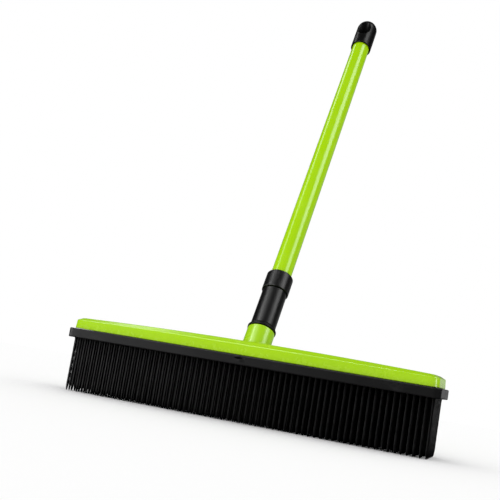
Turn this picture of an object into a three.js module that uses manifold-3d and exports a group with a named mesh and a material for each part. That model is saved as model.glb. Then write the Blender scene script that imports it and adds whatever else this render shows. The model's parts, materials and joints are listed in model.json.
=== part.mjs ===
// Rubber push broom with a screw-in, twist-lock telescopic pole, drawn collapsed.
// Millimetres, +Z up. The origin is the middle of the plane that the bristle tips stand on.
// +X runs along the broom head and the pole leans back towards +Y.

import * as THREE from 'three';
import { mergeVertices } from 'three/addons/utils/BufferGeometryUtils.js';
import Module from 'manifold-3d';

const wasm = await Module();
wasm.setup();

// ---- driving dimensions ----

const GAP = 0.3;

// bristle block
const RIM_BOTTOM = 47.3;
const RIM_TOP = 55.5;
const RIM_LENGTH = 331;
const RIM_DEPTH = 64;
const RIM_CORNER = 6;
const RIM_EDGE = 0.8;
const BRISTLE_PITCH = 5;
const BRISTLE_COLUMNS = 65;
const BRISTLE_ROWS = 11;
const BRISTLE_ROW_PITCH = 4.6;
const ROW_THICKNESS = 1.4;
const EDGE_WALL = 3;
const ROW_ROOT = 1;
const BRISTLE_RADIUS = 1.2;
const GROOVE_DEPTH = 1.7;
const THUMB_NOTCH_LENGTH = 10;
const THUMB_NOTCH_HEIGHT = 1.5;
const PLUG_RADIUS = 2.7;
const PLUG_HEAD_RADIUS = 4;
const PLUG_XS = [-130, -45, 45, 130];
const PLUG_Y = 13.5;

// base plate and its screws
const PLATE_LENGTH = 306;
const PLATE_DEPTH = 44;
const PLATE_THICKNESS = 3;
const PLATE_CORNER = 5;
const SCREW_RADIUS = 1.5;
const SCREW_HEAD_RADIUS = 3.2;
const SCREW_HEAD_HEIGHT = 1.9;
const SCREW_LENGTH = 7.4;
const SCREW_XS = [-95, 95];
const SCREW_Y = 13;

// head cover
const COVER_INSET_X = 2.6;
const COVER_INSET_Y = 3.8;
const COVER_SHOULDER = 8.8;
const COVER_HEIGHT = 12.3;
const COVER_CROWN = 2.8;
const SHOULDER_CROWN = 1.3;
const COVER_WALL = 2.4;
const SHOULDER_INSET = 0.5;
const TOP_INSET = 4.8;
const COVER_CORNER = 6;
const SHOULDER_STEPS = 4;
const BOSS_POST_RADIUS = 4;

// pole: distances run along its axis from where it crosses the rim's top plane
const TILT = THREE.MathUtils.degToRad(29.2);
const SOCKET_TOP = 27.2;
const SOCKET_RADIUS = 12.4;
const SOCKET_BORE = 10.4;
const SPIGOT_RADIUS = 10;
const SPIGOT_BOTTOM = 9.3;
const SEAT_RADIUS = 13;
const SEAT_TOP = 31.2;
const ADAPTER_RADIUS = 11.3;
const ADAPTER_TOP = 69.6;
const INNER_TUBE_RADIUS = 8;
const INNER_TUBE_TOP = 418;
const TUBE_WALL = 0.7;
const PLUG_TOP = 424;
const COLLAR_RADIUS = 12.4;
const COLLAR_TOP = 88.6;
const COLLAR_LIP = 2.2;
const BUSH_RADIUS = 10.5;
const BUSH_TOP = 80.6;
const OUTER_TUBE_RADIUS = 9.5;
const OUTER_TUBE_TOP = 432;
const CAP_RADIUS = 11.4;
const CAP_BOTTOM = 421;
const CAP_DOME_CENTRE = 454;
const HANG_HOLE_CENTRE = 446.5;
const HANG_HOLE_WAIST = 5;
const HANG_HOLE_FLARE = 0.62;
const HANG_HOLE_NARROWING = 0.72;

const ROUND_SEGMENTS = 40;
const SMALL_SEGMENTS = 16;

// ---- materials ----

const LIME = 0xa6d600;

function material(colour, roughness, metalness) {
  return new THREE.MeshStandardMaterial({ color: colour, roughness, metalness });
}

// ---- solids ----

function toSolid(geometry) {
  const bare = geometry.clone();
  bare.deleteAttribute('normal');
  bare.deleteAttribute('uv');
  const merged = mergeVertices(bare, 1e-4);
  return new wasm.Manifold(new wasm.Mesh({
    numProp: 3,
    vertProperties: new Float32Array(merged.attributes.position.array),
    triVerts: new Uint32Array(merged.index.array),
  }));
}

function toGeometry(solid) {
  const mesh = solid.getMesh();
  const geometry = new THREE.BufferGeometry();
  geometry.setAttribute('position', new THREE.BufferAttribute(new Float32Array(mesh.vertProperties), 3));
  geometry.setIndex(new THREE.BufferAttribute(new Uint32Array(mesh.triVerts), 1));
  geometry.computeVertexNormals();
  return geometry;
}

// a turned solid about +Z from [radius, height] pairs that start and end on the axis
// or come back to their first point
function turned(profile, segments = ROUND_SEGMENTS) {
  const points = profile.map(([radius, height]) => new THREE.Vector2(radius, height));
  const geometry = new THREE.LatheGeometry(points, segments);
  geometry.rotateX(Math.PI / 2);
  return geometry;
}

function rod(radius, low, high, segments = ROUND_SEGMENTS) {
  return turned([[0, low], [radius, low], [radius, high], [0, high]], segments);
}

function ring(inner, outer, low, high, segments = ROUND_SEGMENTS) {
  return turned([[inner, low], [outer, low], [outer, high], [inner, high], [inner, low]], segments);
}

// one closed loop of a rounded rectangle, its long sides divided so that they can be crowned
function rectangleLoop(length, depth, corner, height, crown) {
  const cornerSteps = 5;
  const sideSteps = 12;
  const loop = [];
  const corners = [[1, 1, 0], [-1, 1, 1], [-1, -1, 2], [1, -1, 3]];
  for (const [signX, signY, quarter] of corners) {
    for (let step = 0; step <= cornerSteps; step += 1) {
      const angle = (quarter + step / cornerSteps) * Math.PI / 2;
      loop.push([
        signX * (length / 2 - corner) + corner * Math.cos(angle),
        signY * (depth / 2 - corner) + corner * Math.sin(angle),
      ]);
    }
    if (quarter === 0 || quarter === 2) {
      const reach = length / 2 - corner;
      for (let step = 1; step < sideSteps; step += 1) {
        loop.push([signX * reach * (1 - 2 * step / sideSteps), signY * depth / 2]);
      }
    }
  }
  return loop.map(([x, y]) => [x, y, height - crown * (2 * x / length) ** 2]);
}

// a closed skin through a stack of loops that all have the same number of points
function lofted(loops) {
  const count = loops[0].length;
  const positions = loops.flat(2);
  const indices = [];
  for (let level = 0; level + 1 < loops.length; level += 1) {
    for (let point = 0; point < count; point += 1) {
      const next = (point + 1) % count;
      const low = level * count;
      const high = low + count;
      indices.push(low + point, low + next, high + next);
      indices.push(low + point, high + next, high + point);
    }
  }
  for (const [level, flip] of [[0, true], [loops.length - 1, false]]) {
    const loop = loops[level];
    const heights = loop.reduce((sum, point) => sum + point[2], 0) / count;
    const middleHeight = level === 0 ? heights : Math.max(...loop.map((point) => point[2]));
    const middle = positions.length / 3;
    positions.push(0, 0, middleHeight);
    for (let point = 0; point < count; point += 1) {
      const a = level * count + point;
      const b = level * count + (point + 1) % count;
      indices.push(...(flip ? [middle, b, a] : [middle, a, b]));
    }
  }
  const geometry = new THREE.BufferGeometry();
  geometry.setAttribute('position', new THREE.Float32BufferAttribute(positions, 3));
  geometry.setIndex(indices);
  return geometry;
}

// moves a geometry made about +Z onto the leaning pole axis
function onPole(geometry) {
  geometry.rotateX(-TILT);
  geometry.translate(0, 0, RIM_TOP);
  return geometry;
}

// ---- broom head ----

// the field of bristles as one solid: its edge is fluted once for every bristle column and row,
// and slots from below leave a thin wall for every row inside it
function bristleField() {
  const halfX = (BRISTLE_COLUMNS - 1) / 2 * BRISTLE_PITCH + BRISTLE_RADIUS;
  const halfY = (BRISTLE_ROWS - 1) / 2 * BRISTLE_ROW_PITCH + BRISTLE_RADIUS;
  const outline = [];
  const sides = [
    [BRISTLE_COLUMNS, BRISTLE_PITCH, (along) => [along, -halfY], [0, 1]],
    [BRISTLE_ROWS, BRISTLE_ROW_PITCH, (along) => [halfX, along], [-1, 0]],
    [BRISTLE_COLUMNS, BRISTLE_PITCH, (along) => [-along, halfY], [0, -1]],
    [BRISTLE_ROWS, BRISTLE_ROW_PITCH, (along) => [-halfX, -along], [1, 0]],
  ];
  for (const [count, pitch, place, inward] of sides) {
    for (let index = 0; index < count; index += 1) {
      const centre = (index - (count - 1) / 2) * pitch;
      outline.push(place(centre - BRISTLE_RADIUS));
      outline.push(place(centre + BRISTLE_RADIUS));
      if (index + 1 < count) {
        const [x, y] = place(centre + pitch / 2);
        outline.push([x + inward[0] * GROOVE_DEPTH, y + inward[1] * GROOVE_DEPTH]);
      }
    }
  }
  const corners = outline.filter(([x, y], index) => {
    const [previousX, previousY] = outline[(index + outline.length - 1) % outline.length];
    return Math.hypot(x - previousX, y - previousY) > 1e-6;
  });
  const shape = new THREE.Shape(corners.map(([x, y]) => new THREE.Vector2(x, y)));
  const field = new THREE.ExtrudeGeometry(shape, { depth: RIM_BOTTOM + 1, bevelEnabled: false });
  let solid = toSolid(field);
  const slotDepth = RIM_BOTTOM - ROW_ROOT;
  for (let gap = 0; gap < BRISTLE_ROWS - 1; gap += 1) {
    const middle = (gap - BRISTLE_ROWS / 2 + 1) * BRISTLE_ROW_PITCH;
    const half = (BRISTLE_ROW_PITCH - ROW_THICKNESS) / 2;
    const low = Math.max(middle - half, EDGE_WALL - halfY);
    const high = Math.min(middle + half, halfY - EDGE_WALL);
    const slot = new THREE.BoxGeometry(2 * (halfX - EDGE_WALL), high - low, 2 * slotDepth);
    slot.translate(0, (low + high) / 2, 0);
    solid = solid.subtract(toSolid(slot));
  }
  return solid;
}

function bristleBlock() {
  const loop = (inset, height) => rectangleLoop(
    RIM_LENGTH - 2 * inset,
    RIM_DEPTH - 2 * inset,
    RIM_CORNER - inset,
    height,
    0,
  );
  let block = toSolid(lofted([
    loop(RIM_EDGE, RIM_BOTTOM),
    loop(0, RIM_BOTTOM + RIM_EDGE),
    loop(0, RIM_TOP - RIM_EDGE),
    loop(RIM_EDGE, RIM_TOP),
  ]));
  block = block.add(bristleField());
  const notch = new THREE.SphereGeometry(1, SMALL_SEGMENTS, 10);
  notch.scale(THUMB_NOTCH_LENGTH / 2, 0.9, THUMB_NOTCH_HEIGHT / 2);
  notch.translate(0, -RIM_DEPTH / 2, RIM_TOP - 2.4);
  block = block.subtract(toSolid(notch));
  for (const x of PLUG_XS) {
    for (const y of [-PLUG_Y, PLUG_Y]) {
      const plateTop = RIM_TOP + GAP + PLATE_THICKNESS;
      const plug = turned([
        [0, RIM_TOP - 1],
        [PLUG_RADIUS, RIM_TOP - 1],
        [PLUG_RADIUS, plateTop + GAP],
        [PLUG_HEAD_RADIUS, plateTop + GAP],
        [PLUG_RADIUS, plateTop + 2.2],
        [0, plateTop + 2.2],
      ], SMALL_SEGMENTS);
      plug.translate(x, y, 0);
      block = block.add(toSolid(plug));
    }
  }
  return toGeometry(block);
}

function basePlate() {
  const low = RIM_TOP + GAP;
  const high = low + PLATE_THICKNESS;
  const loop = (height) => rectangleLoop(PLATE_LENGTH, PLATE_DEPTH, PLATE_CORNER, height, 0);
  let plate = toSolid(lofted([loop(low), loop(high)]));
  const holes = [];
  for (const side of [-1, 1]) {
    for (const x of PLUG_XS) {
      holes.push([x, side * PLUG_Y, PLUG_RADIUS + GAP, low - 1]);
    }
    for (const x of SCREW_XS) {
      holes.push([x, side * SCREW_Y, SCREW_RADIUS + GAP, low - 1]);
      holes.push([x, side * SCREW_Y, SCREW_HEAD_RADIUS + GAP, low - 1, low + SCREW_HEAD_HEIGHT + GAP]);
    }
  }
  for (const [x, y, radius, bottom, top = high + 1] of holes) {
    const hole = rod(radius, bottom, top, SMALL_SEGMENTS);
    hole.translate(x, y, 0);
    plate = plate.subtract(toSolid(hole));
  }
  return toGeometry(plate);
}

function coverScrew(x, y) {
  const low = RIM_TOP + GAP + 0.1;
  const screw = turned([
    [0, low + 0.7],
    [1.1, low + 0.7],
    [1.4, low],
    [SCREW_HEAD_RADIUS, low],
    [SCREW_HEAD_RADIUS, low + SCREW_HEAD_HEIGHT],
    [SCREW_RADIUS, low + SCREW_HEAD_HEIGHT],
    [SCREW_RADIUS, low + SCREW_LENGTH - 1],
    [0, low + SCREW_LENGTH],
  ], SMALL_SEGMENTS);
  screw.translate(x, y, 0);
  return screw;
}

function headCover() {
  const base = RIM_TOP + GAP;
  const length = RIM_LENGTH - 2 * COVER_INSET_X;
  const depth = RIM_DEPTH - 2 * COVER_INSET_Y;
  const loop = (inset, corner, height, crown) => rectangleLoop(
    length - 2 * inset,
    depth - 2 * inset,
    corner,
    height,
    crown,
  );
  const skin = [loop(0, COVER_CORNER, base, 0)];
  for (let step = 0; step <= SHOULDER_STEPS; step += 1) {
    const angle = step / SHOULDER_STEPS * Math.PI / 2;
    const inset = SHOULDER_INSET + (TOP_INSET - SHOULDER_INSET) * (1 - Math.cos(angle));
    const height = COVER_SHOULDER + (COVER_HEIGHT - COVER_SHOULDER) * Math.sin(angle);
    const crown = SHOULDER_CROWN + (COVER_CROWN - SHOULDER_CROWN) * Math.sin(angle);
    skin.push(loop(inset, COVER_CORNER - inset / 2, base + height, crown));
  }
  const outer = toSolid(lofted(skin));
  const hollow = toSolid(lofted([
    loop(COVER_WALL, COVER_CORNER - 2, base - 1, 0),
    loop(COVER_WALL + SHOULDER_INSET, COVER_CORNER - 2, base + COVER_SHOULDER - 1.4, SHOULDER_CROWN),
    loop(COVER_WALL + TOP_INSET, COVER_CORNER - 3, base + COVER_HEIGHT - COVER_WALL, COVER_CROWN),
  ]));
  let cover = outer.subtract(hollow);
  const plateTop = base + PLATE_THICKNESS + GAP;
  for (const x of SCREW_XS) {
    for (const y of [-SCREW_Y, SCREW_Y]) {
      const post = rod(BOSS_POST_RADIUS, plateTop, base + COVER_HEIGHT - COVER_CROWN, SMALL_SEGMENTS);
      post.translate(x, y, 0);
      const pilot = rod(SCREW_RADIUS + GAP, plateTop - 1, plateTop + SCREW_LENGTH - 3.2, SMALL_SEGMENTS);
      pilot.translate(x, y, 0);
      cover = cover.add(toSolid(post)).subtract(toSolid(pilot));
    }
  }
  const socket = toSolid(onPole(turned([
    [0, -8],
    [SOCKET_RADIUS, -8],
    [SOCKET_RADIUS, SOCKET_TOP - 0.6],
    [SOCKET_RADIUS - 0.6, SOCKET_TOP],
    [0, SOCKET_TOP],
  ])));
  const underside = new THREE.BoxGeometry(80, 80, 40);
  underside.translate(0, 0, plateTop - 20);
  cover = cover.add(socket.subtract(toSolid(underside)));
  cover = cover.subtract(toSolid(onPole(rod(SOCKET_BORE, -10, SOCKET_TOP + 2))));
  return toGeometry(cover);
}

// ---- pole, all turned about +Z and laid on the pole axis at the end ----

function seatRing() {
  const low = SOCKET_TOP + GAP;
  const inner = SPIGOT_RADIUS + GAP;
  return turned([
    [inner, low],
    [SEAT_RADIUS - 0.5, low],
    [SEAT_RADIUS, low + 0.6],
    [SEAT_RADIUS, low + 1.6],
    [ADAPTER_RADIUS + 0.4, SEAT_TOP - 0.6],
    [ADAPTER_RADIUS, SEAT_TOP],
    [inner, SEAT_TOP],
    [inner, low],
  ]);
}

function poleAdapter() {
  const bore = INNER_TUBE_RADIUS + GAP;
  return turned([
    [0, SPIGOT_BOTTOM],
    [SPIGOT_RADIUS - 1.5, SPIGOT_BOTTOM],
    [SPIGOT_RADIUS, SPIGOT_BOTTOM + 1.5],
    [SPIGOT_RADIUS, SEAT_TOP + GAP],
    [ADAPTER_RADIUS, SEAT_TOP + GAP],
    [ADAPTER_RADIUS, ADAPTER_TOP - 0.5],
    [ADAPTER_RADIUS - 0.5, ADAPTER_TOP],
    [bore, ADAPTER_TOP],
    [bore, SEAT_TOP + 4],
    [0, SEAT_TOP + 4],
  ]);
}

function innerTube() {
  return ring(INNER_TUBE_RADIUS - TUBE_WALL, INNER_TUBE_RADIUS, SEAT_TOP + 4 + GAP, INNER_TUBE_TOP);
}

// the plug that keeps the inner tube central in the outer one
function innerTubePlug() {
  const stem = INNER_TUBE_RADIUS - TUBE_WALL - GAP;
  const head = OUTER_TUBE_RADIUS - TUBE_WALL - GAP;
  return turned([
    [0, INNER_TUBE_TOP - 16],
    [stem, INNER_TUBE_TOP - 16],
    [stem, INNER_TUBE_TOP + GAP],
    [head, INNER_TUBE_TOP + GAP],
    [head, PLUG_TOP - 1.5],
    [head - 1.5, PLUG_TOP],
    [0, PLUG_TOP],
  ]);
}

// the split bush that grips the inner tube when the collar is turned
function guideBush() {
  const low = ADAPTER_TOP + 2 * GAP + COLLAR_LIP;
  return ring(INNER_TUBE_RADIUS + GAP, BUSH_RADIUS, low, BUSH_TOP);
}

function lockCollar() {
  const low = ADAPTER_TOP + GAP;
  const lipBore = INNER_TUBE_RADIUS + GAP;
  const chamber = BUSH_RADIUS + GAP;
  const tubeBore = OUTER_TUBE_RADIUS + GAP;
  return turned([
    [lipBore, low],
    [COLLAR_RADIUS - 0.4, low],
    [COLLAR_RADIUS, low + 0.4],
    [COLLAR_RADIUS, COLLAR_TOP - 1.6],
    [COLLAR_RADIUS - 0.5, COLLAR_TOP - 0.5],
    [COLLAR_RADIUS - 1.6, COLLAR_TOP],
    [tubeBore, COLLAR_TOP],
    [tubeBore, BUSH_TOP + GAP],
    [chamber, BUSH_TOP + GAP],
    [chamber, low + COLLAR_LIP],
    [lipBore, low + COLLAR_LIP],
    [lipBore, low],
  ]);
}

function outerTube() {
  return ring(OUTER_TUBE_RADIUS - TUBE_WALL, OUTER_TUBE_RADIUS, BUSH_TOP + 2 * GAP, OUTER_TUBE_TOP);
}

// end cap with a domed top and a flared hang hole that runs from front to back
function hangCap() {
  const profile = [[0, CAP_BOTTOM], [CAP_RADIUS - 0.5, CAP_BOTTOM], [CAP_RADIUS, CAP_BOTTOM + 0.5]];
  const domeSteps = 8;
  for (let step = 0; step <= domeSteps; step += 1) {
    const angle = step / domeSteps * Math.PI / 2;
    const radius = step === domeSteps ? 0 : CAP_RADIUS * Math.cos(angle);
    profile.push([radius, CAP_DOME_CENTRE + CAP_RADIUS * Math.sin(angle)]);
  }
  let cap = toSolid(turned(profile));
  const bore = rod(OUTER_TUBE_RADIUS + GAP, CAP_BOTTOM - 1, OUTER_TUBE_TOP + GAP);
  cap = cap.subtract(toSolid(bore));
  const half = CAP_RADIUS + 2;
  const straight = 2;
  const mouth = HANG_HOLE_WAIST + HANG_HOLE_FLARE * (half - straight);
  const hole = turned([
    [0, -half],
    [mouth, -half],
    [HANG_HOLE_WAIST, -straight],
    [HANG_HOLE_WAIST, straight],
    [mouth, half],
    [0, half],
  ], 28);
  hole.rotateX(Math.PI / 2);
  hole.scale(HANG_HOLE_NARROWING, 1, 1);
  hole.translate(0, 0, HANG_HOLE_CENTRE);
  return toGeometry(cap.subtract(toSolid(hole)));
}

// ---- assembly ----

const broom = new THREE.Group();
broom.name = 'push_broom';

function place(parent, name, geometry, look) {
  const mesh = new THREE.Mesh(geometry, look);
  mesh.name = name;
  parent.add(mesh);
}

place(broom, 'bristle_block', bristleBlock(), material(0x141414, 0.6, 0));
place(broom, 'base_plate', basePlate(), material(0x202020, 0.6, 0));
place(broom, 'head_cover', headCover(), material(LIME, 0.3, 0));
for (const [sideX, x] of [['left', SCREW_XS[0]], ['right', SCREW_XS[1]]]) {
  for (const [sideY, y] of [['front', -SCREW_Y], ['back', SCREW_Y]]) {
    place(broom, `cover_screw_${sideY}_${sideX}`, coverScrew(x, y), material(0xb0b0b0, 0.35, 0.9));
  }
}

const pole = new THREE.Group();
pole.rotation.x = -TILT;
pole.position.z = RIM_TOP;
broom.add(pole);

place(pole, 'seat_ring', seatRing(), material(0x1c1c1c, 0.55, 0));
place(pole, 'pole_adapter', poleAdapter(), material(0x262626, 0.45, 0));
place(pole, 'inner_tube', innerTube(), material(0xb8bbbf, 0.35, 0.9));
place(pole, 'inner_tube_plug', innerTubePlug(), material(0x303030, 0.5, 0));
place(pole, 'guide_bush', guideBush(), material(0xd8d8d0, 0.4, 0));
place(pole, 'lock_collar', lockCollar(), material(0x262626, 0.45, 0));
place(pole, 'outer_tube', outerTube(), material(LIME, 0.25, 0.2));
place(pole, 'hang_cap', hangCap(), material(0x141414, 0.5, 0));

export default broom;
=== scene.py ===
"""Looks of a rubber push broom with a screw-in telescopic pole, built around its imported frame.

Shapes are drawn in millimetres in the frame's own place and stored in metres.
Turned pieces are drawn about +Z, with heights measured along the pole axis, and laid on it.
"""

import json
import math
import random

import bmesh
import bpy
import numpy as np
from mathutils import Matrix, Vector

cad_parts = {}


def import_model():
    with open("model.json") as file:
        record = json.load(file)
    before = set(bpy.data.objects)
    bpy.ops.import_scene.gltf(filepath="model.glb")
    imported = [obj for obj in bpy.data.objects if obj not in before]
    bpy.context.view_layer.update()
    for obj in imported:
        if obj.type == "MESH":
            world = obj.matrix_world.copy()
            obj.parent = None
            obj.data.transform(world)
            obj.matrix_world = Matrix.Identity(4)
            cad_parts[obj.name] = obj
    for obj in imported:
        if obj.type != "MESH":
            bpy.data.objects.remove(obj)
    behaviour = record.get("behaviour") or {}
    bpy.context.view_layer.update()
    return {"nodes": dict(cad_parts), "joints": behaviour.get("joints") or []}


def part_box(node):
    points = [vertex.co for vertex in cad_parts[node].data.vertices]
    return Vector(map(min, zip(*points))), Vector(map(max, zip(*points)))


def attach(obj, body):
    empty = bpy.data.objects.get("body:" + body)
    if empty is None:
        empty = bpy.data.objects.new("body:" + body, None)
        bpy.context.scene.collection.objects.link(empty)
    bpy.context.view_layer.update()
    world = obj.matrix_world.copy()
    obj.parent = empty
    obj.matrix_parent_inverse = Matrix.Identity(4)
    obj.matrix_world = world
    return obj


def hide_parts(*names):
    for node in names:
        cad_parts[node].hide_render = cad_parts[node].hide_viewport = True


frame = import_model()

MM = 0.001
SHARP_ANGLE = math.radians(35)

# ---- places taken from the frame ----

JOINTS = {joint["name"]: joint for joint in frame["joints"]}
POLE_FOOT = np.array(JOINTS["thread_turn"]["pos_m"]) / MM
POLE_AXIS = np.array(JOINTS["thread_turn"]["axis"])
POLE_AXIS = POLE_AXIS / np.linalg.norm(POLE_AXIS)
TILT = math.atan2(POLE_AXIS[1], POLE_AXIS[2])
ON_POLE = Matrix.Translation(POLE_FOOT) @ Matrix.Rotation(-TILT, 4, "X")
THREAD_PITCH = (
    JOINTS["thread_travel"]["range_m"][1] / MM * 360 / JOINTS["thread_turn"]["range_deg"][1]
)


def node_box(name):
    """Lowest and highest corner of a CAD node in millimetres."""
    low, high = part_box(name)
    return np.array(low) / MM, np.array(high) / MM


def turned_extent(name):
    """(lowest height, highest height, widest radius) of a turned CAD node about the pole axis."""
    points = np.array([vertex.co for vertex in frame["nodes"][name].data.vertices]) / MM - POLE_FOOT
    along = points @ POLE_AXIS
    away = np.linalg.norm(points - np.outer(along, POLE_AXIS), axis=1)
    return along.min(), along.max(), away.max()


RIM_LOW, RIM_HIGH = node_box("bristle_block")
PLATE_LOW, PLATE_HIGH = node_box("base_plate")
COVER_LOW, COVER_HIGH = node_box("head_cover")
GAP = 0.3
RIM_TOP = PLATE_LOW[2] - GAP
RIM_LENGTH = RIM_HIGH[0] - RIM_LOW[0]
NUB_PROUD = 0.13
RIM_DEPTH = RIM_HIGH[1] - RIM_LOW[1] - 2 * NUB_PROUD

# ---- mesh helpers ----


def scratch(vertices, faces, place=None):
    """A working object in millimetres, with its faces turned outwards."""
    mesh = bpy.data.meshes.new("scratch")
    mesh.from_pydata([tuple(vertex) for vertex in vertices], [], [tuple(face) for face in faces])
    if place is not None:
        mesh.transform(place)
    work = bmesh.new()
    work.from_mesh(mesh)
    bmesh.ops.recalc_face_normals(work, faces=work.faces)
    work.to_mesh(mesh)
    work.free()
    piece = bpy.data.objects.new("scratch", mesh)
    bpy.context.scene.collection.objects.link(piece)
    return piece


def modified(piece, kind, **settings):
    """piece with one modifier applied."""
    modifier = piece.modifiers.new(kind, kind)
    for name, value in settings.items():
        setattr(modifier, name, value)
    graph = bpy.context.evaluated_depsgraph_get()
    mesh = bpy.data.meshes.new_from_object(piece.evaluated_get(graph))
    piece.modifiers.clear()
    piece.data = mesh
    return piece


def combined(piece, other, operation):
    """piece cut by, or joined to, another working object, which is used up."""
    modified(piece, "BOOLEAN", operation=operation, object=other, solver="EXACT")
    bpy.data.objects.remove(other)
    return piece


EDGE_START = math.radians(7)
EDGE_FULL = math.radians(32)


def mark_edges(mesh):
    """Stores how strongly each vertex stands on a convex edge, for the wear in the materials."""
    work = bmesh.new()
    work.from_mesh(mesh)
    amounts = []
    for vertex in work.verts:
        sharpest = 0.0
        for edge in vertex.link_edges:
            if len(edge.link_faces) == 2:
                sharpest = max(sharpest, edge.calc_face_angle_signed(0.0))
        amounts.append(min(1.0, max(0.0, (sharpest - EDGE_START) / (EDGE_FULL - EDGE_START))))
    work.free()
    attribute = mesh.attributes.new("edge", "FLOAT", "POINT")
    attribute.data.foreach_set("value", amounts)


def finished(piece, name, body, slot, material, *nodes):
    """Names a working object, stores it in metres and lets it ride on its body."""
    piece.name = name
    piece.data.name = name
    mark_edges(piece.data)
    piece.data.transform(Matrix.Scale(MM, 4))
    piece.data.shade_smooth()
    piece.data.set_sharp_from_angle(angle=SHARP_ANGLE)
    piece.data.materials.clear()
    piece.data.materials.append(material)
    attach(piece, body)
    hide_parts(*nodes)
    return piece


def rounded(corners, closed=True, steps=5, support=0.2):
    """The outline through corners (x, y, fillet radius). A point beside each fillet keeps the
    straight stretches flat under smooth shading."""
    count = len(corners)
    spots = [np.array(corner[:2], float) for corner in corners]
    bends = []
    for index, spot in enumerate(spots):
        radius = corners[index][2] if len(corners[index]) > 2 else 0
        if radius == 0 or (not closed and index in (0, count - 1)):
            bends.append(None)
            continue
        before = spots[index - 1] - spot
        after = spots[(index + 1) % count] - spot
        before = before / np.linalg.norm(before)
        after = after / np.linalg.norm(after)
        half = math.acos(np.clip(before @ after, -1, 1)) / 2
        bends.append((radius, before, after, half, radius / math.tan(half)))
    reach = [0 if bend is None else bend[4] for bend in bends]

    def roomy(index, other):
        length = np.linalg.norm(spots[other] - spots[index])
        return length - reach[index] - reach[other] > 3 * support

    points = []
    for index, (spot, bend) in enumerate(zip(spots, bends)):
        if bend is None:
            points.append(spot)
            continue
        radius, before, after, half, length = bend
        toward = before + after
        centre = spot + toward / np.linalg.norm(toward) * radius / math.sin(half)
        start = spot + before * length - centre
        end = spot + after * length - centre
        sweep = math.pi - 2 * half
        if roomy(index, index - 1):
            points.append(spot + before * (length + support))
        for step in range(steps + 1):
            share = step / steps
            mixed = start * math.sin((1 - share) * sweep) + end * math.sin(share * sweep)
            points.append(centre + mixed / math.sin(sweep))
        if roomy(index, (index + 1) % count):
            points.append(spot + after * (length + support))
    return points


ROUND_SEGMENTS = 96


def turned(profile, segments=ROUND_SEGMENTS, ripple=None, place=ON_POLE):
    """A solid turned about +Z from (radius, height) points. The profile closes on itself, unless
    it starts and ends on the axis. ripple(angle, radius, height) gives a change of radius."""
    on_axis = [abs(radius) < 1e-6 for radius, _ in profile]
    vertices, rings = [], []
    for (radius, height), central in zip(profile, on_axis):
        if central:
            rings.append([len(vertices)] * segments)
            vertices.append((0, 0, height))
            continue
        rings.append(range(len(vertices), len(vertices) + segments))
        for segment in range(segments):
            angle = 2 * math.pi * segment / segments
            wide = radius + (ripple(angle, radius, height) if ripple else 0)
            vertices.append((wide * math.cos(angle), wide * math.sin(angle), height))
    faces = []
    pairs = list(zip(rings, rings[1:]))
    if not on_axis[0]:
        pairs.append((rings[-1], rings[0]))
    for low, high in pairs:
        for segment in range(segments):
            following = (segment + 1) % segments
            corners = (low[segment], low[following], high[following], high[segment])
            faces.append(tuple(dict.fromkeys(corners)))
    return scratch(vertices, faces, place)


CORNER_STEPS = 12
SIDE_STEPS = 48
CROSS_STEPS = 8


def stations(length, depth, corner):
    """(x, half depth) along a rounded rectangle, from its +X end to its -X end."""
    quarter = []
    for step in range(CORNER_STEPS + 1):
        angle = step / CORNER_STEPS * math.pi / 2
        quarter.append((
            length / 2 - corner + corner * math.cos(angle),
            depth / 2 - corner + corner * math.sin(angle),
        ))
    reach = length / 2 - corner
    side = [(reach * (1 - 2 * step / SIDE_STEPS), depth / 2) for step in range(1, SIDE_STEPS)]
    return quarter + side + [(-x, y) for x, y in reversed(quarter)]


def lofted(length, depth, levels):
    """A closed skin through levels (inset, corner radius, height, crown, rise): a crown lowers a
    level towards its ends, and a rise lifts the middle of the closing face across its depth."""
    across = [1 - 2 * step / CROSS_STEPS for step in range(CROSS_STEPS + 1)]
    vertices, loops, grids = [], [], []
    for inset, corner, height, crown, rise in levels:
        line = stations(length - 2 * inset, depth - 2 * inset, corner)
        grid = {}
        for i, (x, half) in enumerate(line):
            for k, share in enumerate(across):
                closing = len(grids) in (0, len(levels) - 1)
                if not closing and 0 < i < len(line) - 1 and 0 < k < CROSS_STEPS:
                    continue
                lift = rise * (1 - share ** 2) * (1 - (2 * x / length) ** 6)
                grid[i, k] = len(vertices)
                vertices.append((x, half * share, height - crown * (2 * x / length) ** 2 + lift))
        last = len(line) - 1
        loops.append(
            [grid[i, 0] for i in range(last)]
            + [grid[last, k] for k in range(CROSS_STEPS)]
            + [grid[i, CROSS_STEPS] for i in range(last, 0, -1)]
            + [grid[0, k] for k in range(CROSS_STEPS, 0, -1)]
        )
        grids.append(grid)
    faces = []
    for low, high in zip(loops, loops[1:]):
        for point in range(len(low)):
            following = (point + 1) % len(low)
            faces.append((low[point], low[following], high[following], high[point]))
    for grid in (grids[0], grids[-1]):
        for i in range(last):
            for k in range(CROSS_STEPS):
                faces.append((grid[i, k], grid[i + 1, k], grid[i + 1, k + 1], grid[i, k + 1]))
    return scratch(vertices, faces)


# ---- materials ----


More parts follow.
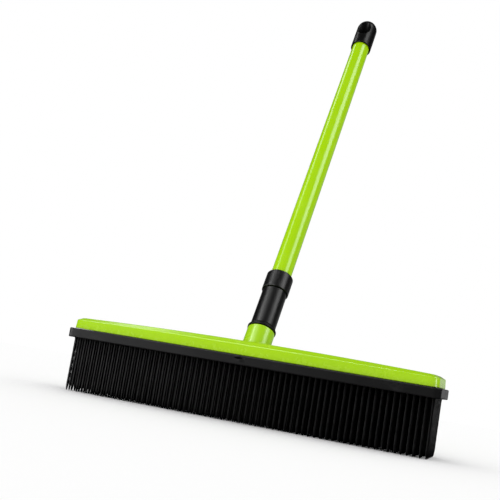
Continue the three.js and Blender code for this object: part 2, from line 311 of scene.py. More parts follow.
class Nodes:
    """A material's node tree, with short ways to add the nodes used here."""

    def __init__(self, name):
        self.material = bpy.data.materials.new(name)
        self.material.use_nodes = True
        self.tree = self.material.node_tree
        self.shader = self.tree.nodes["Principled BSDF"]
        self.place = self.add("ShaderNodeTexCoord").outputs["Object"]

    def add(self, kind, **settings):
        node = self.tree.nodes.new(kind)
        for name, value in settings.items():
            setattr(node, name, value)
        return node

    def link(self, source, target):
        self.tree.links.new(source, target)

    def along_pole(self, stretch):
        """Turns the coordinates so that Z runs along the pole, and stretches them along it."""
        node = self.add("ShaderNodeMapping", vector_type="POINT")
        self.link(self.place, node.inputs["Vector"])
        node.inputs["Rotation"].default_value = (TILT, 0, 0)
        node.inputs["Scale"].default_value = (1, 1, 1 / stretch)
        self.place = node.outputs["Vector"]

    def noise(self, size, detail=3.0, roughness=0.55, seed=0.0):
        """Noise whose features are about size millimetres wide."""
        node = self.add("ShaderNodeTexNoise", noise_dimensions="4D")
        self.link(self.place, node.inputs["Vector"])
        node.inputs["Scale"].default_value = 1 / (size * MM)
        node.inputs["Detail"].default_value = detail
        node.inputs["Roughness"].default_value = roughness
        node.inputs["W"].default_value = seed
        return node.outputs["Fac"]

    def ranged(self, value, low, high, start=0.3, end=0.7):
        node = self.add("ShaderNodeMapRange")
        self.link(value, node.inputs["Value"])
        for name, number in (("From Min", start), ("From Max", end), ("To Min", low), ("To Max", high)):
            node.inputs[name].default_value = number
        return node.outputs["Result"]

    def maths(self, operation, first, second):
        node = self.add("ShaderNodeMath", operation=operation, use_clamp=True)
        for index, value in enumerate((first, second)):
            if isinstance(value, (int, float)):
                node.inputs[index].default_value = value
            else:
                self.link(value, node.inputs[index])
        return node.outputs[0]

    def mixed(self, factor, first, second):
        """Colour first where factor is 0 and second where it is 1. Each is a colour or a socket."""
        node = self.add("ShaderNodeMix", data_type="RGBA")
        self.link(factor, node.inputs["Factor"])
        for name, value in (("A", first), ("B", second)):
            socket = next(s for s in node.inputs if s.name == name and s.type == "RGBA")
            if isinstance(value, tuple):
                socket.default_value = (*value, 1)
            else:
                self.link(value, socket)
        return next(s for s in node.outputs if s.type == "RGBA")

    def edges(self, size):
        """Worn edges: the stored edge amount, broken up by noise."""
        stored = self.add("ShaderNodeAttribute", attribute_type="GEOMETRY", attribute_name="edge")
        broken = self.ranged(self.noise(size, detail=5.0, seed=7.0), 0, 1, start=0.42, end=0.68)
        return self.maths("MULTIPLY", stored.outputs["Fac"], broken)

    def bumps(self, *layers):
        """Bump from (height socket, depth in millimetres) layers, laid on one another."""
        normal = None
        for height, depth in layers:
            node = self.add("ShaderNodeBump")
            node.inputs["Strength"].default_value = 1.0
            node.inputs["Distance"].default_value = depth * MM
            self.link(height, node.inputs["Height"])
            if normal is not None:
                self.link(normal, node.inputs["Normal"])
            normal = node.outputs["Normal"]
        self.link(normal, self.shader.inputs["Normal"])

    def scuffs(self, seed):
        """Sparse fine scratches: thin lines where stretched noise crosses its middle."""
        node = self.add("ShaderNodeMapping", vector_type="POINT")
        self.link(self.place, node.inputs["Vector"])
        node.inputs["Rotation"].default_value = (0.7, 0.4, seed)
        node.inputs["Scale"].default_value = (1, 0.08, 1)
        kept, self.place = self.place, node.outputs["Vector"]
        lines = self.noise(2.2, detail=1.0, seed=seed)
        self.place = kept
        off_middle = self.maths("ABSOLUTE", self.maths("SUBTRACT", lines, 0.5), 0)
        patches = self.ranged(self.noise(24, detail=2.0, seed=seed + 3), 0, 1, start=0.55, end=0.7)
        return self.maths("MULTIPLY", self.ranged(off_middle, 1, 0, start=0.0, end=0.012), patches)


EDGE_WEAR = 0.55
SCRATCH_WEAR = 0.3
WORN_ROUGHNESS = 0.16
SCRATCH_DEPTH = 0.004
COAT_ROUGHNESS = 0.12


def moulded(name, colour, shade, worn, roughness, specular, grain, pole=False, coat=0.0, wave=0.02):
    """Moulded plastic, rubber or paint. colour and shade are its two tones, worn the tone of
    rubbed edges, and roughness a range. grain is the (size, depth) of its surface and wave the
    depth of its wide ripples, in millimetres."""
    nodes = Nodes(name)
    if pole:
        nodes.along_pole(2.5)
    cloud = nodes.ranged(nodes.noise(38, detail=2.0), 0, 1)
    speckle = nodes.ranged(nodes.noise(1.6, detail=4.0, seed=2.0), 0, 0.35)
    tone = nodes.mixed(nodes.maths("ADD", cloud, speckle), colour, shade)
    edge = nodes.edges(3.5)
    scratches = nodes.scuffs(1.3)
    rubbed = nodes.maths(
        "MAXIMUM",
        nodes.maths("MULTIPLY", edge, EDGE_WEAR),
        nodes.maths("MULTIPLY", scratches, SCRATCH_WEAR))
    nodes.link(nodes.mixed(rubbed, tone, worn), nodes.shader.inputs["Base Color"])
    low, high = roughness
    smear = nodes.ranged(nodes.noise(16, detail=4.0, seed=4.0), low, high)
    rough = nodes.maths("ADD", smear, nodes.maths("MULTIPLY", rubbed, WORN_ROUGHNESS))
    nodes.link(rough, nodes.shader.inputs["Roughness"])
    size, depth = grain
    nodes.bumps(
        (nodes.noise(7, detail=1.5, seed=5.0), wave),
        (nodes.noise(size, detail=4.0, seed=6.0), depth),
        (scratches, -SCRATCH_DEPTH),
    )
    nodes.shader.inputs["Specular IOR Level"].default_value = specular
    nodes.shader.inputs["Coat Weight"].default_value = coat
    nodes.shader.inputs["Coat Roughness"].default_value = COAT_ROUGHNESS
    return nodes.material


STEEL_METALLIC = 0.65


def steel(name, tone, shade, roughness, drawn):
    """Bright steel. drawn stretches its fine lines along the pole, as on a drawn tube. It isn't
    fully metallic, because gloss doesn't mirror the surround and a full metal would turn black."""
    nodes = Nodes(name)
    if drawn:
        nodes.along_pole(60.0)
    lines = nodes.noise(0.5, detail=3.0, seed=1.0)
    cloud = nodes.ranged(nodes.noise(22, detail=3.0), 0, 1)
    nodes.link(nodes.mixed(cloud, tone, shade), nodes.shader.inputs["Base Color"])
    low, high = roughness
    nodes.link(nodes.ranged(lines, low, high), nodes.shader.inputs["Roughness"])
    nodes.bumps((lines, 0.0015))
    nodes.shader.inputs["Metallic"].default_value = STEEL_METALLIC
    return nodes.material


LIME = (0.385, 0.68, 0.0005)
LIME_SHADE = (0.36, 0.65, 0.0003)
LIME_WORN = (0.46, 0.74, 0.02)

MATERIALS = {
    # bristle_rubber and rim_rubber are lit and shaded copies of one rubber: the bristles' base colour is
    # painted about six times darker than the rim's, as painted shade among the bristles.
    "bristle_rubber": moulded(
        "bristle_rubber", (0.0010, 0.0010, 0.0011), (0.0006, 0.0006, 0.0007), (0.006, 0.006, 0.0065),
        (0.32, 0.42), 0.3, (0.35, 0.012)),
    "rim_rubber": moulded(
        "rim_rubber", (0.0062, 0.0062, 0.0065), (0.0048, 0.0048, 0.0051), (0.016, 0.016, 0.017),
        (0.4, 0.5), 0.3, (0.35, 0.008)),
    "plate_plastic": moulded(
        "plate_plastic", (0.012, 0.012, 0.012), (0.009, 0.009, 0.009), (0.03, 0.03, 0.03),
        (0.5, 0.62), 0.4, (0.4, 0.02)),
    "cover_plastic": moulded(
        "cover_plastic", LIME, LIME_SHADE, LIME_WORN, (0.2, 0.28), 0.5, (0.25, 0.0012), coat=0.2,
        wave=0.004),
    "screw_steel": steel("screw_steel", (0.62, 0.62, 0.63), (0.5, 0.5, 0.52), (0.28, 0.45), False),
    "seat_rubber": moulded(
        "seat_rubber", (0.005, 0.005, 0.0055), (0.0035, 0.0035, 0.004), (0.014, 0.014, 0.015),
        (0.4, 0.5), 0.2, (0.3, 0.008), pole=True),
    "coupling_plastic": moulded(
        "coupling_plastic", (0.0036, 0.0036, 0.0038), (0.0026, 0.0026, 0.0028), (0.018, 0.018, 0.019),
        (0.3, 0.37), 0.4, (0.3, 0.006), pole=True),
    "inner_tube_steel": steel(
        "inner_tube_steel", (0.64, 0.65, 0.66), (0.55, 0.56, 0.58), (0.2, 0.36), True),
    "bush_plastic": moulded(
        "bush_plastic", (0.66, 0.65, 0.58), (0.6, 0.59, 0.52), (0.72, 0.71, 0.66),
        (0.32, 0.42), 0.5, (0.4, 0.004), pole=True),
    "outer_tube_paint": moulded(
        "outer_tube_paint", LIME, LIME_SHADE, LIME_WORN, (0.14, 0.2), 0.5, (0.5, 0.0005), pole=True,
        wave=0.004),
    "cap_plastic": moulded(
        "cap_plastic", (0.0055, 0.0055, 0.0058), (0.004, 0.004, 0.0043), (0.018, 0.018, 0.019),
        (0.3, 0.4), 0.2, (0.3, 0.005), pole=True),
}

# ---- broom head ----

RIM_HEIGHT = 8.2
RIM_BOTTOM = RIM_TOP - RIM_HEIGHT
RIM_CORNER = 6.0
RIM_EDGE = 0.9
NOTCH_HALF_WIDTH = 4.9
NOTCH_HALF_HEIGHT = 1.15
NOTCH_END_HALF_HEIGHT = 0.4
NOTCH_DROP = 2.6
NOTCH_DEPTH_SHARE = 0.4
TICK_DROP = 2.2
TICK_HEIGHT = 3
NUB_RADIUS = 1.75
NUB_HALF_HEIGHT = 1
NUB_DROP = 4.6
NUB_SINK = 0.12
NUB_DEPTH_SHARE = 0.14
PLUG_XS = (-130, -45, 45, 130)
PLUG_Y = 13.5
PLUG_RADIUS = 2.7
PLUG_HEAD_RADIUS = 4.0
PLUG_HEAD_HEIGHT = 2.2
PLUG_OVERLAP = 1


def edge_levels(height, edge, corner):
    """Levels of a flat block whose lower and upper edges are rounded, for lofted()."""
    outline = rounded(
        [(20, 0), (0, 0, edge), (0, height, edge), (20, height)], closed=False, steps=4, support=0.25)
    return [(inset, corner - min(inset, corner - 1), level) for inset, level in outline[1:-1]]


def bristle_rim():
    """The moulded rim: its thumb notch with a short upright tick, the nub under it and the plugs
    that hold it on the base plate."""
    levels = []
    for inset, corner, level in edge_levels(RIM_HEIGHT, RIM_EDGE, RIM_CORNER):
        levels.append((inset, corner, RIM_BOTTOM + level, 0, 0))
    rim = lofted(RIM_LENGTH, RIM_DEPTH, levels)
    front = -RIM_DEPTH / 2
    lens = rounded([
        (0, -NOTCH_HALF_HEIGHT),
        (NOTCH_HALF_WIDTH, -NOTCH_END_HALF_HEIGHT, 0.3),
        (NOTCH_HALF_WIDTH, NOTCH_END_HALF_HEIGHT, 0.3),
        (0, NOTCH_HALF_HEIGHT),
    ], closed=False)
    notch = turned(lens, 64, place=(
        Matrix.Translation((0, front, RIM_TOP - NOTCH_DROP))
        @ Matrix.Diagonal((1, NOTCH_DEPTH_SHARE, 1, 1))))
    combined(rim, notch, "DIFFERENCE")
    tick = lofted(1.4, 1.2, [(0, 0.3, RIM_TOP - TICK_DROP + level, 0, 0) for level in (0, TICK_HEIGHT)])
    tick.data.transform(Matrix.Translation((0, front, 0)) @ Matrix.Diagonal((0.4, 0.6, 1, 1)))
    combined(rim, tick, "DIFFERENCE")
    nub = turned(rounded([
        (0, -NUB_HALF_HEIGHT),
        (NUB_RADIUS, -NUB_HALF_HEIGHT, 0.5),
        (NUB_RADIUS, NUB_HALF_HEIGHT, 0.5),
        (0, NUB_HALF_HEIGHT),
    ], closed=False), 48, place=(
        Matrix.Translation((0, front + NUB_SINK, RIM_TOP - NUB_DROP))
        @ Matrix.Diagonal((1, NUB_DEPTH_SHARE, 1, 1))))
    combined(rim, nub, "UNION")
    plate = PLATE_HIGH[2]
    for x in PLUG_XS:
        for y in (-PLUG_Y, PLUG_Y):
            plug = turned(rounded([
                (0, RIM_TOP - PLUG_OVERLAP),
                (PLUG_RADIUS, RIM_TOP - PLUG_OVERLAP),
                (PLUG_RADIUS, plate + GAP),
                (PLUG_HEAD_RADIUS, plate + GAP, 0.3),
                (PLUG_RADIUS, plate + PLUG_HEAD_HEIGHT, 0.4),
                (0, plate + PLUG_HEAD_HEIGHT),
            ], closed=False), 32, place=Matrix.Translation((x, y, 0)))
            combined(rim, plug, "UNION")
    return rim


BRISTLE_COLUMNS = 65
BRISTLE_ROWS = 11
BRISTLE_PITCH = 5.0
BRISTLE_ROW_PITCH = 4.6
BRISTLE_SIDES = 8
BRISTLE_ROOT = 1.2
BRISTLE_SHAFT = 1.1
BRISTLE_BUMP = 0.09
BRISTLE_BUMPS = 5
BRISTLE_SHAFT_TOP_SHARE = 0.76
BUMPS_END = 5
BRISTLE_LEAN = 0.28
LEAN_LIMIT = 1.6
OUTER_LEAN_SHARE = 0.35
SHORTENING = 0.12
TIP_LENGTH = 0.7


def bristle_profile():
    """(radius, height) of one bristle from its root in the rim down to its rounded tip."""
    profile = [(1.65, RIM_BOTTOM + 0.6), (1.45, RIM_BOTTOM - 0.3), (BRISTLE_ROOT, RIM_BOTTOM - 1.6)]
    shaft_top = RIM_BOTTOM * BRISTLE_SHAFT_TOP_SHARE
    profile.append((BRISTLE_ROOT * 0.98, shaft_top + 0.6))
    spacing = (shaft_top - BUMPS_END) / BRISTLE_BUMPS
    for bump in range(BRISTLE_BUMPS):
        centre = shaft_top - 1 - spacing * (bump + 0.5)
        profile.append((BRISTLE_SHAFT, centre + spacing / 2))
        profile.append((BRISTLE_SHAFT + BRISTLE_BUMP, centre))
    profile += [(BRISTLE_SHAFT * 0.96, 4.6), (0.86, 2.2), (0.55, TIP_LENGTH)]
    return profile


def bristles():
    """All the bristles as one mesh: each leans a little its own way and ends in a round tip."""
    rng = random.Random(11)
    profile = bristle_profile()
    turn = [2 * math.pi * (side + 0.5) / BRISTLE_SIDES for side in range(BRISTLE_SIDES)]
    circle = np.array([(math.cos(angle), math.sin(angle)) for angle in turn])
    root = profile[0][1]
    vertices, faces = [], []
    for column in range(BRISTLE_COLUMNS):
        for row in range(BRISTLE_ROWS):
            x = (column - (BRISTLE_COLUMNS - 1) / 2) * BRISTLE_PITCH
            y = (row - (BRISTLE_ROWS - 1) / 2) * BRISTLE_ROW_PITCH
            lean = np.array((rng.gauss(0, 1), rng.gauss(0, 1))).clip(-LEAN_LIMIT, LEAN_LIMIT) * BRISTLE_LEAN
            if row in (0, BRISTLE_ROWS - 1) or column in (0, BRISTLE_COLUMNS - 1):
                lean *= OUTER_LEAN_SHARE
            short = abs(rng.gauss(0, SHORTENING))
            first = len(vertices)
            for radius, height in profile:
                level = max(height, TIP_LENGTH + short)
                offset = lean * ((root - level) / root) ** 2
                ring = circle * radius + offset
                vertices += [(x + px, y + py, level) for px, py in ring]
            tip = len(vertices)
            vertices.append((x + lean[0], y + lean[1], short))
            vertices.append((x, y, root))
            for level in range(len(profile) - 1):
                low = first + level * BRISTLE_SIDES
                for side in range(BRISTLE_SIDES):
                    following = (side + 1) % BRISTLE_SIDES
                    faces.append((
                        low + side, low + following,
                        low + BRISTLE_SIDES + following, low + BRISTLE_SIDES + side))
            end = first + (len(profile) - 1) * BRISTLE_SIDES
            for side in range(BRISTLE_SIDES):
                following = (side + 1) % BRISTLE_SIDES
                faces.append((end + side, end + following, tip))
                faces.append((first + following, first + side, tip + 1))
    return scratch(vertices, faces)


COVER_BASE = COVER_LOW[2]
COVER_LENGTH = COVER_HIGH[0] - COVER_LOW[0]
COVER_DEPTH = 56.4
COVER_SHOULDER = 8.8
COVER_HEIGHT = 12.3
COVER_CROWN = 2.8
SHOULDER_CROWN = 1.3
SHOULDER_INSET = 0.5
TOP_INSET = 4.8
COVER_CORNER = 7.5
COVER_WALL = 2.4
COVER_RISE = 0.25
SHOULDER_FILLET = 1.3
TOP_FILLET = 2.2
TOP_MARGIN = 3.0
COVER_FOOT = 0.3
SOCKET_LIP = 0.8
SOCKET_ROOT = -8
BOSS_POST_RADIUS = 4.0
PILOT_RADIUS = 1.8
SKIRT = 1.1
SKIRT_STEPS = 6
SKIRT_OVERLAP = 1.2
SKIRT_DEPTH = 0.8
SKIRT_SINK = 0.004


def cover_skin():
    """The outside of the cover: an upright wall, a slanting shoulder and a crowned top."""
    outline = rounded([
        (0, COVER_FOOT),
        (SHOULDER_INSET, COVER_SHOULDER, SHOULDER_FILLET),
        (TOP_INSET, COVER_HEIGHT, TOP_FILLET),
        (TOP_INSET + TOP_MARGIN, COVER_HEIGHT),
    ], closed=False, steps=6)
    levels = [(COVER_FOOT, COVER_CORNER, COVER_BASE, 0, 0)]
    for inset, height in outline:
        above = max(0, height - COVER_SHOULDER) / (COVER_HEIGHT - COVER_SHOULDER)
        below = min(1, height / COVER_SHOULDER)
        crown = SHOULDER_CROWN * below + (COVER_CROWN - SHOULDER_CROWN) * above
        levels.append((inset, COVER_CORNER - inset / 2, COVER_BASE + height, crown, 0))
    levels[-1] = (*levels[-1][:4], COVER_RISE)
    return lofted(COVER_LENGTH, COVER_DEPTH, levels)


def cover_hollow():
    """What is left out inside the cover."""
    levels = []
    for inset, corner, height, crown in (
        (COVER_WALL, COVER_CORNER - 2, -1, 0),
        (COVER_WALL + SHOULDER_INSET, COVER_CORNER - 2, COVER_SHOULDER - 1.4, SHOULDER_CROWN),
        (COVER_WALL + TOP_INSET, COVER_CORNER - 3, COVER_HEIGHT - COVER_WALL, COVER_CROWN),
    ):
        levels.append((inset, corner, COVER_BASE + height, crown, 0))
    return lofted(COVER_LENGTH, COVER_DEPTH, levels)


THREAD_HALF_VALLEY = 0.14
THREAD_FLANK = 0.16


def thread(depth, low, high, fade):
    """A ripple of helical thread between two heights, for turned(). It fades out at both ends.
    The valley and flank widths are shares of the pitch."""
    def ripple(angle, radius, height):
        if not low < height < high:
            return 0.0
        phase = (height / THREAD_PITCH - angle / (2 * math.pi)) % 1
        flank = min(max((abs(phase - 0.5) - THREAD_HALF_VALLEY) / THREAD_FLANK, 0), 1)
        ends = min(1, (height - low) / fade, (high - height) / fade)
        return depth * (1 - flank) * ends
    return ripple


def dense(low, high, spacing, radius):
    """(radius, height) points that divide an upright stretch of a profile evenly."""
    count = max(1, round((high - low) / spacing))
    return [(radius, low + (high - low) * step / count) for step in range(count + 1)]


SCREW_SIDES = ("front_left", "front_right", "back_left", "back_right")
SEAT_LOW, SEAT_HIGH, SEAT_RADIUS = turned_extent("seat_ring")
SOCKET_TOP = SEAT_LOW - GAP
SOCKET_RADIUS = 12.4
SOCKET_BORE = 10.4
THREAD_DEPTH = 0.9


def top_height(x, y):
    """Height of the cover's crowned top at a place near its middle."""
    half = COVER_DEPTH / 2 - TOP_INSET - TOP_MARGIN
    crown = COVER_CROWN * (2 * x / COVER_LENGTH) ** 2
    rise = COVER_RISE * (1 - (y / half) ** 2)
    return COVER_BASE + COVER_HEIGHT - crown + rise


def skirt():
    """The small fillet between the leaning socket and the cover's top, as a closed ring."""
    rings = []
    turn = np.array(ON_POLE.to_3x3())
    down = np.array((0, 0, -SKIRT_DEPTH))
    for segment in range(ROUND_SEGMENTS):
        angle = 2 * math.pi * segment / ROUND_SEGMENTS
        outward = turn @ np.array((math.cos(angle), math.sin(angle), 0))
        foot = POLE_FOOT + outward * SOCKET_RADIUS
        rise = (top_height(*foot[:2]) - foot[2]) / POLE_AXIS[2]
        foot = foot + POLE_AXIS * rise
        foot[2] = top_height(*foot[:2])
        level = np.array((outward[0], outward[1], 0))
        level = level / np.linalg.norm(level)
        half = math.acos(np.clip(POLE_AXIS @ level, -1, 1)) / 2
        toward = POLE_AXIS + level
        centre = foot + toward / np.linalg.norm(toward) * SKIRT / math.sin(half)
        reach = SKIRT / math.tan(half)
        start, end = foot + POLE_AXIS * reach - centre, foot + level * reach - centre
        sweep = math.pi - 2 * half
        ring = []
        for step in range(SKIRT_STEPS + 1):
            share = step / SKIRT_STEPS
            mixed = start * math.sin((1 - share) * sweep) + end * math.sin(share * sweep)
            ring.append(centre + mixed / math.sin(sweep))
        ring.append(ring[-1] + down)
        ring.append(foot - outward * SKIRT_OVERLAP + down)
        ring.append(ring[0] - outward * SKIRT_OVERLAP)
        ring[0] = ring[0] - outward * SKIRT_SINK
        rings.append(ring)
    count = len(rings[0])
    faces = []
    for segment in range(ROUND_SEGMENTS):
        following = (segment + 1) % ROUND_SEGMENTS
        for point in range(count):
            after = (point + 1) % count
            faces.append((
                segment * count + point, following * count + point,
                following * count + after, segment * count + after))
    return scratch([point for ring in rings for point in ring], faces)


def cover():
    """The cover with its leaning threaded socket and its four screw posts."""
    shell = combined(cover_skin(), cover_hollow(), "DIFFERENCE")
    plate_top = PLATE_HIGH[2] + GAP
    post_top = COVER_BASE + COVER_HEIGHT - COVER_CROWN
    for side in SCREW_SIDES:
        low, high = node_box("cover_screw_" + side)
        x, y = (low[0] + high[0]) / 2, (low[1] + high[1]) / 2
        place = Matrix.Translation((x, y, 0))
        post = turned(rounded([
            (0, plate_top),
            (BOSS_POST_RADIUS, plate_top, 0.3),
            (BOSS_POST_RADIUS, post_top),
            (0, post_top),
        ], closed=False), 48, place=place)
        combined(shell, post, "UNION")
        pilot = turned([
            (0, plate_top - 1),
            (PILOT_RADIUS, plate_top - 1),
            (PILOT_RADIUS, high[2] + 1),
            (0, high[2] + 1),
        ], 32, place=place)
        combined(shell, pilot, "DIFFERENCE")
    socket = turned(rounded([
        (0, SOCKET_ROOT),
        (SOCKET_RADIUS, SOCKET_ROOT),
        (SOCKET_RADIUS, SOCKET_TOP, SOCKET_LIP),
        (0, SOCKET_TOP),
    ], closed=False))
    below = lofted(80, 80, [(0, 1, plate_top - 40, 0, 0), (0, 1, plate_top, 0, 0)])
    combined(socket, below, "DIFFERENCE")
    combined(shell, socket, "UNION")
    combined(shell, skirt(), "UNION")
    groove = thread(THREAD_DEPTH, 4, SOCKET_TOP - 0.5, fade=1.5)
    bore = turned(
        [(0, -10)] + dense(-10, SOCKET_TOP - 0.6, 0.4, SOCKET_BORE)
        + [(SOCKET_BORE + 0.6, SOCKET_TOP), (SOCKET_BORE + 0.6, SOCKET_TOP + 2), (0, SOCKET_TOP + 2)],
        ripple=groove)
    return combined(shell, bore, "DIFFERENCE")


# ---- pole ----

ADAPTER_LOW, ADAPTER_HIGH, ADAPTER_RADIUS = turned_extent("pole_adapter")
SPIGOT_RADIUS = 10.0
TUBE_LOW, TUBE_HIGH, TUBE_RADIUS = turned_extent("inner_tube")
COLLAR_LOW, COLLAR_HIGH, COLLAR_RADIUS = turned_extent("lock_collar")
OUTER_LOW, OUTER_HIGH, OUTER_RADIUS = turned_extent("outer_tube")
BUSH_LOW, _, BUSH_RADIUS = turned_extent("guide_bush")
CAP_INSET = 0.04
CAP_LOW, CAP_HIGH, CAP_RADIUS = np.array(turned_extent("hang_cap")) - (0, CAP_INSET, CAP_INSET)
TUBE_WALL = 0.7


def seat_ring():
    """The rubber ring under the adapter: a thin rim and a hollow slope up to the body."""
    bore = SPIGOT_RADIUS + GAP
    slope = []
    for step in range(7):
        angle = step / 6 * math.pi / 2
        radius = SEAT_RADIUS - 0.3 - (SEAT_RADIUS - 0.3 - ADAPTER_RADIUS) * math.sin(angle)
        slope.append((radius, SEAT_HIGH - (SEAT_HIGH - SEAT_LOW - 2.3) * math.cos(angle)))
    rim = rounded([
        (bore, SEAT_LOW),
        (SEAT_RADIUS, SEAT_LOW, 0.5),
        (SEAT_RADIUS, SEAT_LOW + 2.1, 0.6),
        (SEAT_RADIUS - 0.9, SEAT_LOW + 2.2),
    ], closed=False, support=0.1)
    return turned(rim[:-1] + slope[1:] + [(bore, SEAT_HIGH)])


def pole_adapter():
    """The moulded adapter, with a coarse screw thread on its spigot."""
    bore = TUBE_RADIUS + GAP
    body = SEAT_HIGH + GAP
    core = SPIGOT_RADIUS - THREAD_DEPTH
    spigot = [(0, ADAPTER_LOW), (core - 1.2, ADAPTER_LOW)]
    spigot += dense(ADAPTER_LOW + 1.2, body - 2.5, 0.3, core)
    collar = rounded([
        (SPIGOT_RADIUS, body - 2),
        (SPIGOT_RADIUS, body),
        (ADAPTER_RADIUS, body, 0.3),
        (ADAPTER_RADIUS, ADAPTER_HIGH, 0.6),
        (bore, ADAPTER_HIGH, 0.2),
        (bore, TUBE_LOW - GAP),
        (0, TUBE_LOW - GAP),
    ], closed=False)
    ridge = thread(THREAD_DEPTH, ADAPTER_LOW + 1.2, body - 2.6, fade=1.6)
    return turned(spigot + collar, ripple=ridge)


def tube(radius, low, high):
    """A thin drawn tube with softened ends."""
    return turned(rounded([
        (radius - TUBE_WALL, low, 0.15),
        (radius, low, 0.2),
        (radius, high, 0.2),
        (radius - TUBE_WALL, high, 0.15),
    ], steps=3, support=0.3), 128)


def lock_collar():
    """The twist-lock collar. Its chamber holds the bush, and its upper rim rolls over."""
    lip_bore = TUBE_RADIUS + GAP
    chamber = BUSH_RADIUS + GAP
    tube_bore = OUTER_RADIUS + GAP
    floor = BUSH_LOW - GAP
    return turned(rounded([
        (lip_bore, COLLAR_LOW, 0.2),
        (COLLAR_RADIUS, COLLAR_LOW, 0.7),
        (COLLAR_RADIUS, COLLAR_HIGH, 1.7),
        (tube_bore, COLLAR_HIGH, 0.3),
        (tube_bore, OUTER_LOW - GAP),
        (chamber, OUTER_LOW - GAP),
        (chamber, floor),
        (lip_bore, floor, 0.2),
    ]))


DOME_CENTRE = CAP_HIGH - CAP_RADIUS
HANG_HOLE_CENTRE = DOME_CENTRE - 7.5
HANG_HOLE_WAIST = 5.0
HANG_HOLE_FLARE = 0.62
HANG_HOLE_NARROWING = 0.72
HANG_HOLE_SOFTNESS = 2.0
DOME_STEPS = 16
SCOOP_STEPS = 24
CAP_VOXEL = 0.32


def hang_cap():
    """The end cap: a domed plug cover with a scooped hang hole, its edges softened by remeshing."""
    profile = rounded([(0, CAP_LOW), (CAP_RADIUS, CAP_LOW, 0.5), (CAP_RADIUS, DOME_CENTRE)], closed=False)
    for step in range(1, DOME_STEPS):
        angle = step / DOME_STEPS * math.pi / 2
        profile.append((CAP_RADIUS * math.cos(angle), DOME_CENTRE + CAP_RADIUS * math.sin(angle)))
    profile.append((0, CAP_HIGH))
    cap = turned(profile, place=None)
    bore = OUTER_RADIUS + GAP
    tube_room = turned([
        (0, CAP_LOW - 1),
        (bore, CAP_LOW - 1),
        (bore, OUTER_HIGH + GAP),
        (0, OUTER_HIGH + GAP),
    ], place=None)
    combined(cap, tube_room, "DIFFERENCE")
    half = CAP_RADIUS + 2
    scoop = []
    for step in range(SCOOP_STEPS + 1):
        height = -half + 2 * half * step / SCOOP_STEPS
        flare = math.hypot(height, HANG_HOLE_SOFTNESS) - HANG_HOLE_SOFTNESS
        scoop.append((HANG_HOLE_WAIST + HANG_HOLE_FLARE * flare, height))
    hole = turned([(0, -half)] + scoop + [(0, half)], place=(
        Matrix.Translation((0, 0, HANG_HOLE_CENTRE))
        @ Matrix.Diagonal((HANG_HOLE_NARROWING, 1, 1, 1))
        @ Matrix.Rotation(math.pi / 2, 4, "X")))
    combined(cap, hole, "DIFFERENCE")
    modified(cap, "REMESH", mode="VOXEL", voxel_size=CAP_VOXEL)
    modified(cap, "SMOOTH", factor=0.5, iterations=6)
    cap.data.transform(ON_POLE)
    return cap


def dress(name, slot):
    """Gives a CAD node that stays in view its material."""
    node = frame["nodes"][name]
    node.data.materials.clear()
    node.data.materials.append(MATERIALS[slot])


finished(bristle_rim(), "bristle_rim", "head", "bristle_rubber", MATERIALS["rim_rubber"], "bristle_block")
finished(bristles(), "bristles", "head", "bristle_rubber", MATERIALS["bristle_rubber"], "bristle_block")
COVER = finished(cover(), "cover_shell", "head", "cover_plastic", MATERIALS["cover_plastic"], "head_cover")
finished(seat_ring(), "seat_washer", "seat_ring", "seat_rubber", MATERIALS["seat_rubber"], "seat_ring")
finished(
    pole_adapter(), "threaded_adapter", "lower_pole", "coupling_plastic", MATERIALS["coupling_plastic"],
    "pole_adapter")
finished(
    tube(TUBE_RADIUS, TUBE_LOW, TUBE_HIGH), "lower_tube", "lower_pole", "inner_tube_steel",
    MATERIALS["inner_tube_steel"], "inner_tube")
finished(
    lock_collar(), "twist_collar", "upper_pole", "coupling_plastic", MATERIALS["coupling_plastic"],
    "lock_collar")
finished(
    tube(OUTER_RADIUS, OUTER_LOW, OUTER_HIGH), "upper_tube", "upper_pole", "outer_tube_paint",
    MATERIALS["outer_tube_paint"], "outer_tube")
finished(hang_cap(), "end_cap", "upper_pole", "cap_plastic", MATERIALS["cap_plastic"], "hang_cap")

dress("base_plate", "plate_plastic")
for side in SCREW_SIDES:
    dress("cover_screw_" + side, "screw_steel")
dress("inner_tube_plug", "plate_plastic")
dress("guide_bush", "bush_plastic")

# ---- floor, light and camera ----


def floor():
    """A wide pale floor under the bristle tips. Gloss on the broom doesn't mirror it."""
    half = 1.1
    corners = [(-half, -half, 0), (half, -half, 0), (half, half, 0), (-half, half, 0)]
    mesh = bpy.data.meshes.new("floor")
    mesh.from_pydata(corners, [], [(0, 1, 2, 3)])
    plane = bpy.data.objects.new("floor", mesh)
    bpy.context.scene.collection.objects.link(plane)
    shader = Nodes("floor_paint").shader
    shader.inputs["Base Color"].default_value = (0.99, 0.99, 0.99, 1)
    shader.inputs["Roughness"].default_value = 1.0
    shader.inputs["Specular IOR Level"].default_value = 0.0
    mesh.materials.append(bpy.data.materials["floor_paint"])
    plane.visible_glossy = False
    return plane


def world():
    """An even white surround. It lights everything, and gloss doesn't mirror it."""
    surround = bpy.data.worlds.new("surround")
    bpy.context.scene.world = surround
    surround.use_nodes = True
    background = surround.node_tree.nodes["Background"]
    background.inputs["Color"].default_value = (1, 1, 1, 1)
    background.inputs["Strength"].default_value = 1.0
    surround.cycles_visibility.glossy = False


def flag(holder, piece, state):
    """Keeps a light off the piece with EXCLUDE, or off everything else with INCLUDE."""
    flagged = bpy.data.collections.new(holder.name + "_flag")
    flagged.objects.link(piece)
    flagged.collection_objects[0].light_linking.link_state = state
    holder.light_linking.receiver_collection = flagged


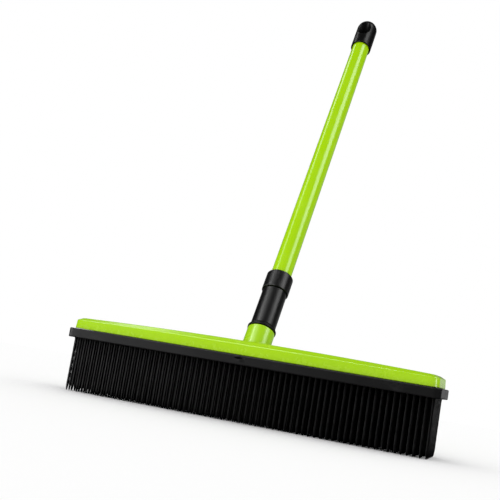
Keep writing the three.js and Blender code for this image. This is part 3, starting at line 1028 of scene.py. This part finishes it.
def softbox(name, centre, target, width, height, power, upright=(0, 0, 1), lights=False):
    """An area light at centre that faces target, with its height along upright. It is only
    mirrored, or with lights it only gives diffuse light. Lengths are in metres, power in watts."""
    lamp = bpy.data.lights.new(name, "AREA")
    lamp.shape, lamp.size, lamp.size_y, lamp.energy = "RECTANGLE", width, height, power
    holder = bpy.data.objects.new(name, lamp)
    bpy.context.scene.collection.objects.link(holder)
    back = (Vector(centre) - Vector(target)).normalized()
    tall = Vector(upright)
    tall = (tall - back * tall.dot(back)).normalized()
    side = tall.cross(back)
    holder.matrix_world = Matrix((
        (side.x, tall.x, back.x, centre[0]),
        (side.y, tall.y, back.y, centre[1]),
        (side.z, tall.z, back.z, centre[2]),
        (0, 0, 0, 1)))
    holder.visible_camera = False
    holder.visible_diffuse = lights
    holder.visible_glossy = not lights
    return holder


SENSOR_WIDTH = 36


def camera(place, yaw, pitch, roll, lens):
    """A camera turned left by yaw, up by pitch and rolled clockwise by roll, in radians."""
    data = bpy.data.cameras.new("camera")
    data.sensor_width = SENSOR_WIDTH
    data.lens = lens
    data.clip_start = 0.01
    holder = bpy.data.objects.new("camera", data)
    bpy.context.scene.collection.objects.link(holder)
    forward = Vector((-math.sin(yaw) * math.cos(pitch), math.cos(yaw) * math.cos(pitch), math.sin(pitch)))
    level = Vector((math.cos(yaw), math.sin(yaw), 0))
    above = level.cross(forward)
    right = level * math.cos(roll) + above * math.sin(roll)
    up = above * math.cos(roll) - level * math.sin(roll)
    holder.matrix_world = Matrix((
        (right.x, up.x, -forward.x, place[0]),
        (right.y, up.y, -forward.y, place[1]),
        (right.z, up.z, -forward.z, place[2]),
        (0, 0, 0, 1)))
    bpy.context.scene.camera = holder


CAMERA_PLACE = (0.23455, -0.70272, 0.05091)
CAMERA_TURN = {"yaw": 0.34532, "pitch": 0.12977, "roll": 0.16671}
CAMERA_LENS = 61.2

POLE_MIDDLE = Vector((POLE_FOOT + POLE_AXIS * 200) * MM)
HEAD_MIDDLE = Vector((0, 0, 0.05))

ground = floor()
world()
softbox("streak_left", (-0.76, 0.0, 1.091), POLE_MIDDLE, 0.22, 1.2, 2.3, upright=(0.13, 0.95, 0.14))
softbox("streak_right", (0.81, 0.038, 1.06), POLE_MIDDLE, 0.5, 1.2, 8.2, upright=(-0.5, 0.13, 0.65))
softbox("edge_line", (-0.45, -0.75, 0.95), HEAD_MIDDLE, 1.0, 0.3, 10.0)
softbox("backdrop", (0, 1.4, 0.5), HEAD_MIDDLE, 3.0, 1.0, 1.8)
right_end = softbox("right_end", (0.5, 1.1, 0.06), HEAD_MIDDLE, 0.5, 0.2, 0.24)
corner_line = softbox("corner_line", (1.32, -0.25, 0.08), HEAD_MIDDLE, 0.2, 0.25, 4.6)
cover_end = softbox("cover_end", (0.42, 1.15, 0.06), HEAD_MIDDLE, 0.5, 0.2, 0.1)
low_card = softbox("low_card", (-0.6, -0.85, 0.04), HEAD_MIDDLE, 0.5, 0.15, 0.9)
bristle_edge = softbox("bristle_edge", (-1.1, -0.5, 0.12), HEAD_MIDDLE, 0.8, 0.3, 5.5)
front_left = softbox("front_left", (-0.65, -0.75, 0.2), HEAD_MIDDLE, 0.5, 0.4, 2.4, lights=True)
flag(right_end, COVER, "EXCLUDE")
flag(corner_line, COVER, "INCLUDE")
flag(cover_end, COVER, "INCLUDE")
flag(low_card, COVER, "EXCLUDE")
flag(bristle_edge, COVER, "EXCLUDE")
flag(front_left, ground, "EXCLUDE")
camera(CAMERA_PLACE, lens=CAMERA_LENS, **CAMERA_TURN)

bpy.context.scene.view_settings.view_transform = "Standard"
bpy.context.scene.view_settings.look = "None"
